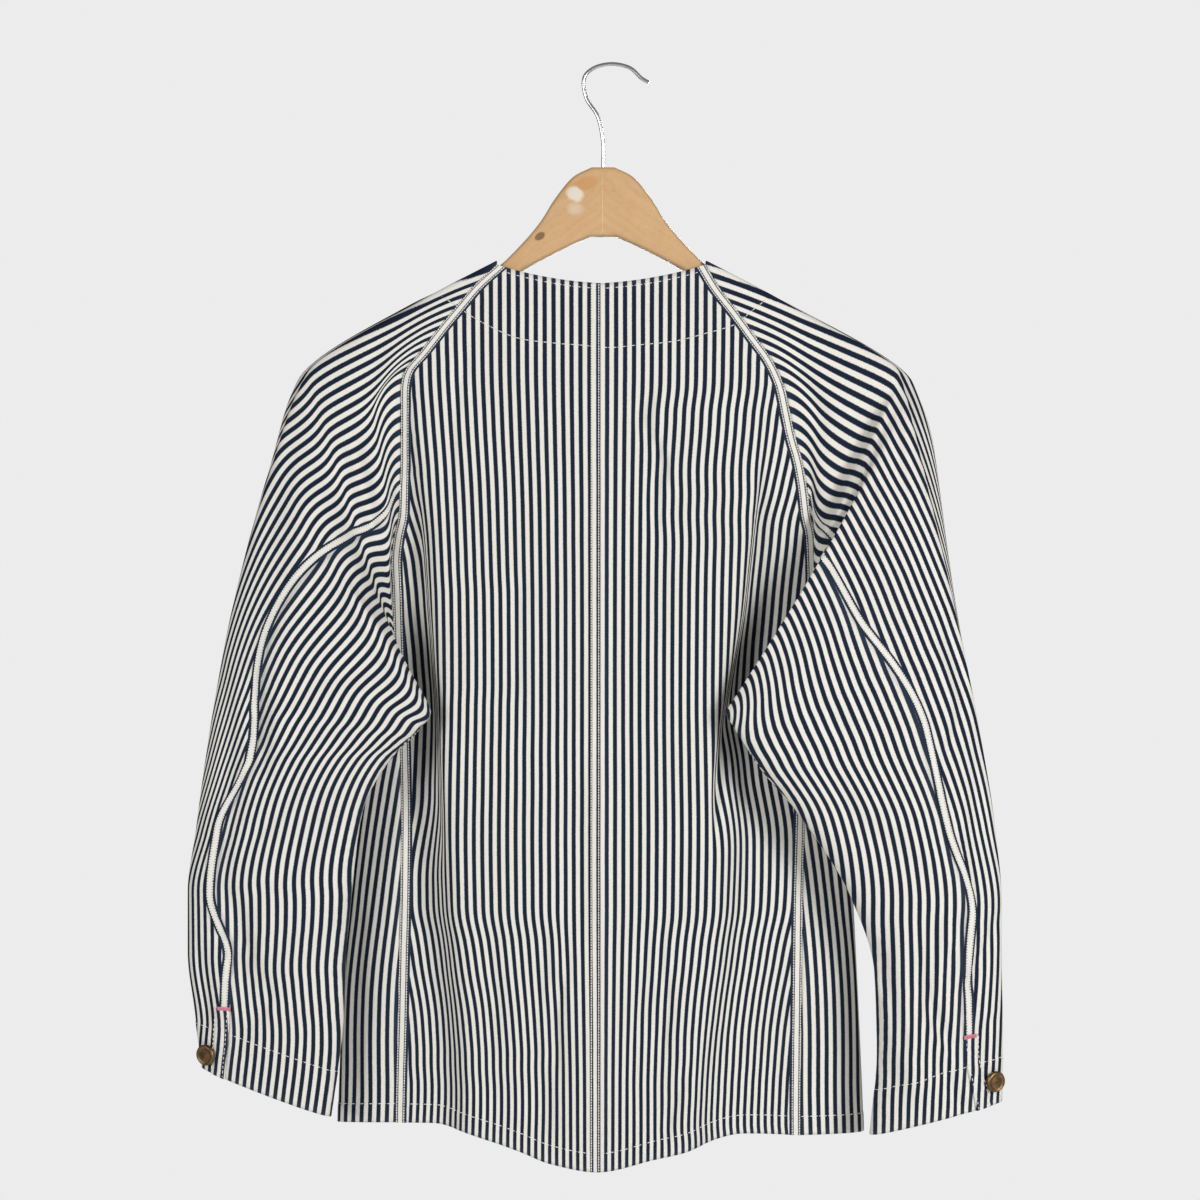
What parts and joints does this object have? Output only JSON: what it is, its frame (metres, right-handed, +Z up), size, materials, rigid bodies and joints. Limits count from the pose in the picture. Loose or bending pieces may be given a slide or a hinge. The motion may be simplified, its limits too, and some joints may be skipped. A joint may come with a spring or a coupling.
{
  "type": "chore jacket on a wooden hanger",
  "caption": "Collarless hickory-stripe raglan chore jacket with vented, buttoned cuffs, seen from the back, hanging open-necked on a shaped wooden hanger with a steel hook.",
  "frame": {"origin": "the point inside the top of the hanger's hook where it rests on a peg or rail", "axes": "+Z up, +X towards the wearer's right, +Y towards the jacket's front; the back faces -Y"},
  "size_m": [0.6301, 0.1072, 0.864],
  "materials": {
    "cloth": "twill work cotton with even navy and cream stripes, washed",
    "button_metal": "dark aged bronze",
    "wood": "satin varnish, worn",
    "steel": "bright plated wire"
  },
  "bodies": {
    "root": {"back_left": "cloth", "back_right": "cloth", "front_left": "cloth", "front_right": "cloth", "sleeve_left_upper": "cloth", "sleeve_right_upper": "cloth", "sleeve_left_under": "cloth", "sleeve_right_under": "cloth", "cuff_button_left": "button_metal", "cuff_button_right": "button_metal", "front_button_1": "button_metal", "front_button_2": "button_metal", "front_button_3": "button_metal", "front_button_4": "button_metal", "front_button_5": "button_metal", "hanger_wood": "wood", "hanger_hook": "steel"}
  },
  "joints": []
}
